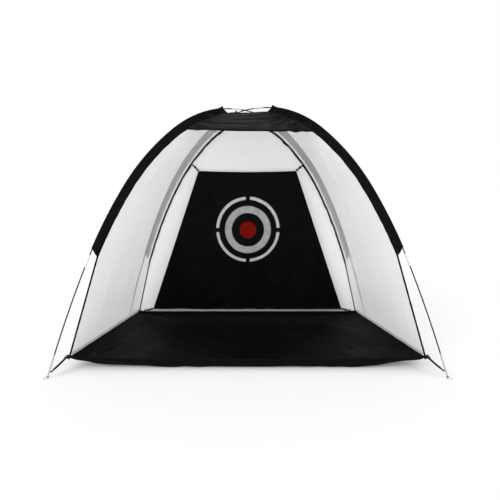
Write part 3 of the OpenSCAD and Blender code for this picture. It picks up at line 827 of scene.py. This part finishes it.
def hem(name, left, right, height):
    """White tape sewn along the foot of a net wall."""
    a, b = legs[left], legs[right]
    f = np.linspace(0.02, 0.98, 60)[None, :]
    up = np.linspace(0, 1, 5)[:, None]
    rise_a, rise_b = (leg.seam(np.array([height / leg.tail]))[0] for leg in (a, b))
    low, high = between(a.corner, b.corner, f[..., None]), between(rise_a, rise_b, f[..., None])
    grid = between(low, high, up[..., None])
    ripple = Ripple((0.12, 0.4), 4, 5)
    xs = (f - 0.5) * np.linalg.norm(b.corner - a.corner)
    grid = grid + toward(grid, CENTRE) * (HEM_PROUD + HEM_WAVES * ripple.at(xs, 0))[..., None]
    obj = cloth_grid(name, grid, cloth_at((up - 0.5) * height, xs), MATERIALS["tape"], thick=0.0009)
    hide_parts("net_hems")
    return obj


WALLS = {
    "left": ("rear_left", "front_left"),
    "right": ("front_right", "rear_right"),
    "rear": ("rear_right", "rear_left"),
}
for key, (one, two) in WALLS.items():
    cloth, flat, area = wall(f"net_wall_{key}", one, two, f"net_{key}")
    band = hem(f"net_tape_{key}", one, two, HEM_HEIGHT)

# ---- bindings along the seams

BINDING_HALF = 0.0070      # half its width, on the line from the pole to the middle
BINDING_REAR = 0.0130      # the same on the upper part of a rear seam, a folded tape
BINDING_FLAT = 0.36        # its thickness as a share of its width
BINDING_INWARD = 0.003


def binding(name, leg):
    rear = "rear" in name
    us = np.concatenate([np.linspace(2, 1, 60)[:-1], np.linspace(1, 0.01, 26)])
    path = leg.seam(us)
    wobble = Ripple((0.06, 0.2), 0, 1)
    s = travel(path)
    inward = unit(np.cross(np.gradient(path, axis=0), leg.side))
    inward *= np.sign(((CENTRE - path) * inward).sum(1))[:, None]
    loose = (0.0035 if rear else 0.0012) * smoothstep((us - 0.9) / 0.3)
    path = path + leg.side * (0.0009 * wobble.at(s, 0))[:, None]
    path = path + inward * (BINDING_INWARD + loose * wobble.at(s * 0.8, 0))[:, None]
    wider = (BINDING_REAR - BINDING_HALF) * smoothstep((us - 0.8) / 0.3) if rear else 0
    half = (BINDING_HALF + wider) * (1 + 0.10 * wobble.at(s * 1.7, 0))
    return tube(name, path, half, MATERIALS["binding"], flat=BINDING_FLAT, side=leg.side)


for name, leg in legs.items():
    trim = binding(f"binding_{name}", leg)
    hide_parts(SEAM_OF[name])

# ---- visor

VISOR_SHORTER_LEFT = 0.019   # its foot ends higher than the CAD's on the left
VISOR_LONGER_RIGHT = 0.032
VISOR_BOW = 0.006
VISOR_LONG_FOLDS = 0.0045
VISOR_SLANT = 0.0110         # folds that run in from the right corner
VISOR_SLANT_LEFT = 0.0050
VISOR_DIP = 0.003            # how far its top edge hangs and waves
HEM_WIDTH = 0.018


def add_visor():
    a, b = legs["front_left"], legs["front_right"]
    us = np.linspace(2, 1, 400)
    u_low = us[np.argmin(abs(a.seam(us)[:, 2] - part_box("visor")[0].z))]
    rows, cols = 48, 130
    p = a.seam(np.linspace(2.0, u_low + VISOR_SHORTER_LEFT / a.upper_at[-1], rows))
    q = b.seam(np.linspace(2.0, u_low - VISOR_LONGER_RIGHT / b.upper_at[-1], rows))
    f = np.linspace(0, 1, cols)[None, :]
    grid = between(p[:, None], q[:, None], f[..., None])
    n = toward(grid, CENTRE)
    across = np.linalg.norm(q - p, axis=1)[:, None]
    xs, ys = (f - 0.5) * across, travel((p + q) / 2)[:, None]
    depth = ys.max()
    bow = arch(f)
    long_folds = sharpen(Ripple((0.05, 0.13), 90, 9).at(xs * 0.8, ys)) * smoothstep(bow * 3)
    slant = sharpen(Ripple((0.035, 0.09), 62, 12).at(xs, ys))
    slant_left = sharpen(Ripple((0.05, 0.11), 118, 12).at(xs, ys))
    slant = slant * smoothstep((f - 0.62) / 0.3) * smoothstep((1.02 - f) / 0.12)
    slant_left = slant_left * smoothstep((0.3 - f) / 0.25) * smoothstep(f / 0.1)
    inward = (VISOR_BOW * bow + VISOR_LONG_FOLDS * long_folds
              + VISOR_SLANT * slant + VISOR_SLANT_LEFT * slant_left)
    grid = grid + n * inward[..., None]
    wavy = Ripple((0.09, 0.25), 0, 2).at(xs, 0)
    top_dip = VISOR_DIP * (bow + wavy * smoothstep(bow * 4)) * (1 - ys / depth) ** 2
    grid = grid + unit(q[-1] + p[-1] - q[0] - p[0]) * top_dip[..., None]
    # The fold height goes into the cloth attribute, where the visor material paints a highlight on crests
    # and shade in troughs.
    cloth = cloth_at(xs, ys, 0.35 * long_folds + 1.1 * slant + 0.5 * slant_left)
    obj = cloth_grid("visor_cloth", grid, cloth, MATERIALS["visor"], thick=CLOTH_THICK)
    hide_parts("visor")
    lanes = np.linspace(-1.0, 0.12, 5)[:, None] * HEM_WIDTH
    strip = grid[-1] + unit(grid[-1] - grid[-4]) * lanes[..., None] - n[-1] * 0.0012
    strip_cloth = cloth_at(lanes + HEM_WIDTH / 2, xs[-1:])
    band = cloth_grid("visor_hem_band", strip, strip_cloth, MATERIALS["hem"], thick=0.0016)
    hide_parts("visor_hem")


add_visor()

# ---- floor

RIM = 0.14                 # share of the grid that climbs to the taut edge
EDGE_SAG = 0.022
CORNER_RISE = 0.1          # how far the front corners' pull lifts the floor behind them
FLOOR_LOW = 0.0012         # height of the cloth's middle where it lies flat
FLOOR_WAVES = 0.0050
FLOOR_RAYS = 0.0065        # folds that spread from the corners
FLOOR_LIFT_MAX = 0.035
FRONT_SWAY = 0.004


def floor_ground(name):
    side, end = LEGS[name]
    pts = node_points("floor_sheet")
    mine = pts[(pts[:, 0] * side > 0) & (pts[:, 1] * end > 0)]
    return np.array([mine[:, 0].mean(), mine[:, 1].mean(), FLOOR_LOW])


def add_floor():
    a, b = np.meshgrid(np.linspace(-1, 1, 170), np.linspace(-1, 1, 120))
    a = np.sign(a) * abs(a) ** 0.9
    ia, ib = (np.clip(c / (1 - RIM), -1, 1) for c in (a, b))
    ra, rb = (np.clip((abs(c) - 1 + RIM) / RIM, 0, 1) for c in (a, b))
    sa, sb = np.sign(a), np.sign(b)
    ground = {n: floor_ground(n) for n in LEGS}
    edge = {n: legs[n].corner for n in LEGS}
    left, right, rear = edge["front_left"], edge["front_right"], edge["rear_right"]

    def quad(c, s, t):
        """Points between four corners, for s and t from -1 to 1."""
        s, t = ((s + 1) / 2)[..., None], ((t + 1) / 2)[..., None]
        return between(between(c["front_left"], c["front_right"], s),
                       between(c["rear_left"], c["rear_right"], s), t)

    end_edge = quad(edge, ia, sb)
    end_edge[..., 2] -= EDGE_SAG * (1 - ia ** 2) * (sb < 0)
    grid = between(between(quad(ground, ia, ib), quad(edge, sa, ib), ra[..., None]),
                   between(end_edge, quad(edge, sa, sb), ra[..., None]), rb[..., None])
    rise = np.maximum(ra, rb)
    ease = np.where(rise > 0, rise ** 0.35, 1.0)
    front = (sb < 0) & (rb > ra)
    grid[..., 2] = np.where(front, grid[..., 2], FLOOR_LOW + (grid[..., 2] - FLOOR_LOW) * ease)
    x, y = grid[..., 0].copy(), grid[..., 1].copy()
    inside = 1 - smoothstep(rise * 1.3)
    soft = Ripple((0.35, 0.9), 40, 80, 9)
    folds = Ripple((0.10, 0.26), 65, 30, 9)
    uneven = 0.5 + 0.5 * soft.at(x * 0.6, y * 0.6)
    lift = FLOOR_WAVES * (soft.at(x, y) + 1) + FLOOR_WAVES * (sharpen(folds.at(x, y)) + 1) * uneven
    for c in edge.values():
        turn = np.arctan2(y - c[1], x - c[0])
        rays = sharpen(np.sin(turn * 17 + 2.1 * np.sin(turn * 5)), 0.6)
        lift += FLOOR_RAYS * (rays + 1) * fade(np.hypot(x - c[0], y - c[1]) - 0.30, 0.26)
    reach = np.clip((abs(x) - 0.75) / (right[0] - 0.75), 0, 1) ** 3.4
    pulled = CORNER_RISE * reach * fade(y - right[1], 0.25)
    grid[..., 2] += np.clip(lift, 0, FLOOR_LIFT_MAX) * inside + pulled * (1 - rise) ** 1.5
    sway = Ripple((0.15, 0.5), 0, 3).at(x, 0) * smoothstep(rb * 2) * (1 - ra) * smoothstep((1 - rb) * 3)
    grid[..., 1] -= FRONT_SWAY * front * sway
    # Fold height for the cloth attribute: the floor material paints a highlight on raised folds and shade
    # in the low parts.
    fold = np.clip((lift - np.median(lift)) / 0.012, -1, 1) * inside
    cloth = cloth_at(x, y + np.where(front, rb * 0.1, 0), fold)
    obj = cloth_grid("floor_cloth", grid, cloth, MATERIALS["floor"], thick=0.001)
    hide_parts("floor_sheet", "floor_edge_band", "front_skirt")
    band = tube("floor_front_hem", grid[0, 2:-2], 0.0042, MATERIALS["hem"])


add_floor()

# ---- corner patches and straps

PATCH_R = 0.034
PATCH_THICK = 0.0026
TAIL_LENGTH = 0.036
TAIL_HALF = 0.007
TAIL_TURNS = (75, -80)     # degrees from the way the corner points
STRAP_LOOP_R = 0.0046      # of the webbing's bend round the ring
STRAP_HALF_NEAR = 0.0042   # half its width at the ring
STRAP_HALF_FAR = 0.0122
STRAP_STACK = 0.0015       # from its middle line to each of its two layers
STRAP_LAP = 0.014          # of its end over the patch


def add_patch(name, leg, index):
    """Reinforced corner: a doubled cloth patch with two short webbing tails."""
    outward = leg.dir
    across = np.cross(UP, outward)
    rings, spokes = 7, 40
    share = np.arange(rings + 1)[:, None] / rings
    a = 2 * math.pi * np.arange(spokes)[None, :] / spokes
    d = PATCH_R * share * (1 + 0.10 * np.cos(4 * a + 0.3 * index))
    x, y = d * np.cos(a), d * np.sin(a)
    lift = 0.0018 + 0.0016 * np.cos(3 * a + index) * share ** 2
    grid = leg.corner + outward * x[..., None] + across * y[..., None] + UP * lift[..., None]
    obj = make(f"corner_patch_{name}", grid.reshape(-1, 3), grid_faces(rings + 1, spokes, wrap=True),
               cloth_at(x, y), MATERIALS["hem"])
    thicken(obj, PATCH_THICK)
    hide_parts("corner_patches")
    for k, turn in enumerate(TAIL_TURNS):
        t = math.radians(turn)
        way = outward * math.cos(t) + across * math.sin(t)
        f = np.linspace(0, 1, 9)[:, None]
        start = leg.corner + way * 0.012 + UP * 0.004
        line = start + way * TAIL_LENGTH * f + UP * (0.010 * np.sin(f * 2.2) - 0.012 * f * f)
        wide = np.array([-TAIL_HALF, 0, TAIL_HALF])
        tail_grid = line[:, None] + np.cross(UP, way) * wide[None, :, None]
        tail = cloth_grid(f"corner_tail_{name}_{k}", tail_grid, cloth_at(wide, f * TAIL_LENGTH),
                          MATERIALS["webbing"], thick=0.0016)


def add_strap(name, leg):
    """Webbing from the corner patch, narrowed and folded round the strap ring."""
    pts = node_points(f"strap_{name}")
    v = unit((leg.corner - pts.mean(0)) * (1, 1, 0))
    place = pts @ v
    near, far = pts[place < place.min() + 0.004].mean(0), pts[place > place.max() - 0.001].mean(0)
    heights = pts[place < place.min() + 0.012][:, 2]
    near[2] = (heights.min() + heights.max()) / 2
    across = np.cross(UP, v)
    length = float(np.linalg.norm(far - near))
    tilt = (far - near) / length
    up = np.cross(across, tilt)
    up = up if up[2] > 0 else -up
    reach = length + STRAP_LAP
    lower = [near + tilt * s - up * STRAP_STACK for s in np.linspace(0.052, 0.016, 5)]
    loop = [near + tilt * (STRAP_LOOP_R - STRAP_LOOP_R * math.cos(a)) + up * STRAP_LOOP_R * math.sin(a)
            for a in np.linspace(-math.pi * 0.72, math.pi * 0.72, 15)]
    upper = [near + tilt * s + up * STRAP_STACK * (1 - 2 * math.sin(math.pi * s / reach))
             for s in np.linspace(0.016, reach, 22)]
    path = np.array(lower + loop + upper)
    widening = smoothstep(((path - near) @ tilt) / 0.05)
    half = between(STRAP_HALF_NEAR, STRAP_HALF_FAR, widening)[:, None]
    offset = half * np.linspace(-1, 1, 7)[None, :]
    grid = path[:, None] + across * offset[..., None]
    obj = cloth_grid(f"strap_webbing_{name}", grid, cloth_at(offset, travel(path)[:, None]),
                     MATERIALS["webbing"], thick=0.0014)
    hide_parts(f"strap_{name}")


for index, (name, leg) in enumerate(legs.items()):
    add_patch(name, leg, index)
    add_strap(name, leg)

# ---- target

TARGET_WAVES = 0.006
TARGET_FOLDS = 0.0030
TARGET_PULL = 0.006        # folds that spread from its corners
TARGET_SAG = 0.010         # of its top edge between the clips
TARGET_HEM = 0.024
TIE_R = 0.0050
KNOT_R = 0.0088
KNOT_TURNS = 2.2
KNOT_LENGTH = 0.0140


def add_target():
    pts = node_points("target_sheet")
    lo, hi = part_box("target_sheet")
    top, foot = pts[pts[:, 2] > hi.z - 0.005], pts[pts[:, 2] < lo.z + 0.005]
    tl, tr, bl, br = (np.array([end(row[:, 0]), row[:, 1].mean(), row[:, 2].mean()])
                      for row in (top, foot) for end in (np.min, np.max))
    t = np.linspace(0, 1, 90)[:, None]
    f = np.linspace(0, 1, 110)[None, :]
    grid = between(between(tl, tr, f[..., None]), between(bl, br, f[..., None]), t[..., None])
    n = toward(grid, np.array([0, -4.0, 1.0]))
    length = float(np.linalg.norm((bl + br - tl - tr) / 2))
    across = between(np.linalg.norm(tr - tl), np.linalg.norm(br - bl), t)
    xs, ys = (f - 0.5) * across, t * length
    pull = 0
    for k, (i, j) in enumerate(((0, 0), (0, -1), (-1, 0), (-1, -1))):
        dx, dy = xs - xs[i, j], ys - ys[i, 0]
        d, turn = np.hypot(dx, dy), np.arctan2(dy, dx)
        pull = pull + sharpen(np.sin(turn * 13 + k * 1.7), 0.6) * np.exp(-d / 0.28) * smoothstep(d / 0.05)
    soft = Ripple((0.45, 1.0), 35, 60, 9)
    folds = Ripple((0.12, 0.3), 42, 24, 9)
    edge = smoothstep(np.minimum(f, 1 - f) * 14) * smoothstep(t * 14)
    bow = TARGET_WAVES * soft.at(xs, ys) + TARGET_FOLDS * sharpen(folds.at(xs, ys)) + TARGET_PULL * pull
    grid = grid + n * (bow * (0.25 + 0.75 * edge))[..., None]
    grid[..., 2] -= TARGET_SAG * arch(f) * (1 - t) ** 6
    face = printed_target("target_print")
    obj = cloth_grid("target_cloth", grid, cloth_at(xs, ys), face, body="target", thick=0.0009)
    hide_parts("target_sheet")
    front = grid + n * 0.0018
    for key, line, inner in (("top", front[0], front[3]), ("left", front[:, 0], front[:, 3]),
                             ("right", front[:, -1], front[:, -4]), ("foot", front[-1], front[-4])):
        lanes = np.linspace(0, 1, 4)[:, None] * TARGET_HEM
        strip = line + unit(inner - line) * lanes[..., None]
        marks = cloth_at(lanes - TARGET_HEM * 0.7, travel(line))
        band = cloth_grid(f"target_hem_{key}", strip, marks, MATERIALS["hem"], body="target", thick=0.0012)


add_target()


def knot(name, end, way):
    """The cord's end wound round itself behind a hook, with a short tail that hangs."""
    side = unit(np.cross(way, UP))
    rise = np.cross(side, way)
    coil = [end + way * (0.012 + KNOT_LENGTH * f) + KNOT_R * (side * math.cos(t) + rise * math.sin(t))
            for f, t in zip(np.linspace(0, 1, 34), np.linspace(0, 2 * math.pi * KNOT_TURNS, 34))]
    drop = [coil[-1] + (side * 0.002 - UP * 0.006 + way * 0.009) * k for k in range(1, 6)]
    obj = tube(name, smooth_path(np.array(coil + drop), 3), TIE_R * 0.75, MATERIALS["elastic"], sides=8)
    return obj


def add_ties():
    """Elastic ties from the rear seams and corners to the target's hooks."""
    pts = node_points("target_ties")
    for side in (-1, 1):
        for level in ("top", "foot"):
            mine = pts[(pts[:, 0] * side > 0) & ((pts[:, 2] > 1.0) == (level == "top"))]
            mean = mine.mean(0)
            _, _, vt = np.linalg.svd(mine - mean)
            s = (mine - mean) @ vt[0]
            a, b = mean + vt[0] * s.min(), mean + vt[0] * s.max()
            if abs(a[0]) > abs(b[0]):
                a, b = b, a
            run = float(np.linalg.norm(b - a))
            way = (b - a) / run
            path = between(a, b, np.linspace(0, 1, 16)[:, None])
            key = f"{level}_{'left' if side < 0 else 'right'}"
            tie = tube(f"target_tie_{key}", path, TIE_R, MATERIALS["elastic"], sides=10)
            bead = knot(f"target_knot_{key}", a, way)
            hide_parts("target_ties")


add_ties()

# ---- floor plane and world

GROUND_HALF = 60.0
GROUND_COLOUR = (0.74, 0.74, 0.74)
GROUND_GLOW = 0.12         # added where it is looked at, so that it blends into the white background
WORLD_LIGHT = 0.9          # the light it gives; it looks like 1


def add_ground():
    mesh = bpy.data.meshes.new("studio_floor")
    corners = [(x * GROUND_HALF, y * GROUND_HALF, 0) for x, y in ((-1, -1), (1, -1), (1, 1), (-1, 1))]
    mesh.from_pydata(corners, [], [(0, 1, 2, 3)])
    obj = add_object("studio_floor", mesh)
    obj.location.z = -0.001
    g = Graph("studio_floor")
    glow = g.math("MULTIPLY", g.seen(), GROUND_GLOW)
    mesh.materials.append(g.surface(GROUND_COLOUR, 0.9, None, Emission_Color=(1, 1, 1),
                                    Emission_Strength=glow, Specular_IOR_Level=0.0))


def add_world():
    g = Graph("studio", world=True)
    background = g.tree.nodes.new("ShaderNodeBackground")
    background.inputs["Color"].default_value = (1, 1, 1, 1)
    g.put(background.inputs["Strength"], g.spread(g.seen(), 0, 1, WORLD_LIGHT, 1.0))
    g.tree.links.new(background.outputs[0], g.out.inputs[0])
    bpy.context.scene.world = g.owner


add_ground()
add_world()
bpy.context.scene.view_settings.view_transform = "Standard"

bpy.context.view_layer.update()
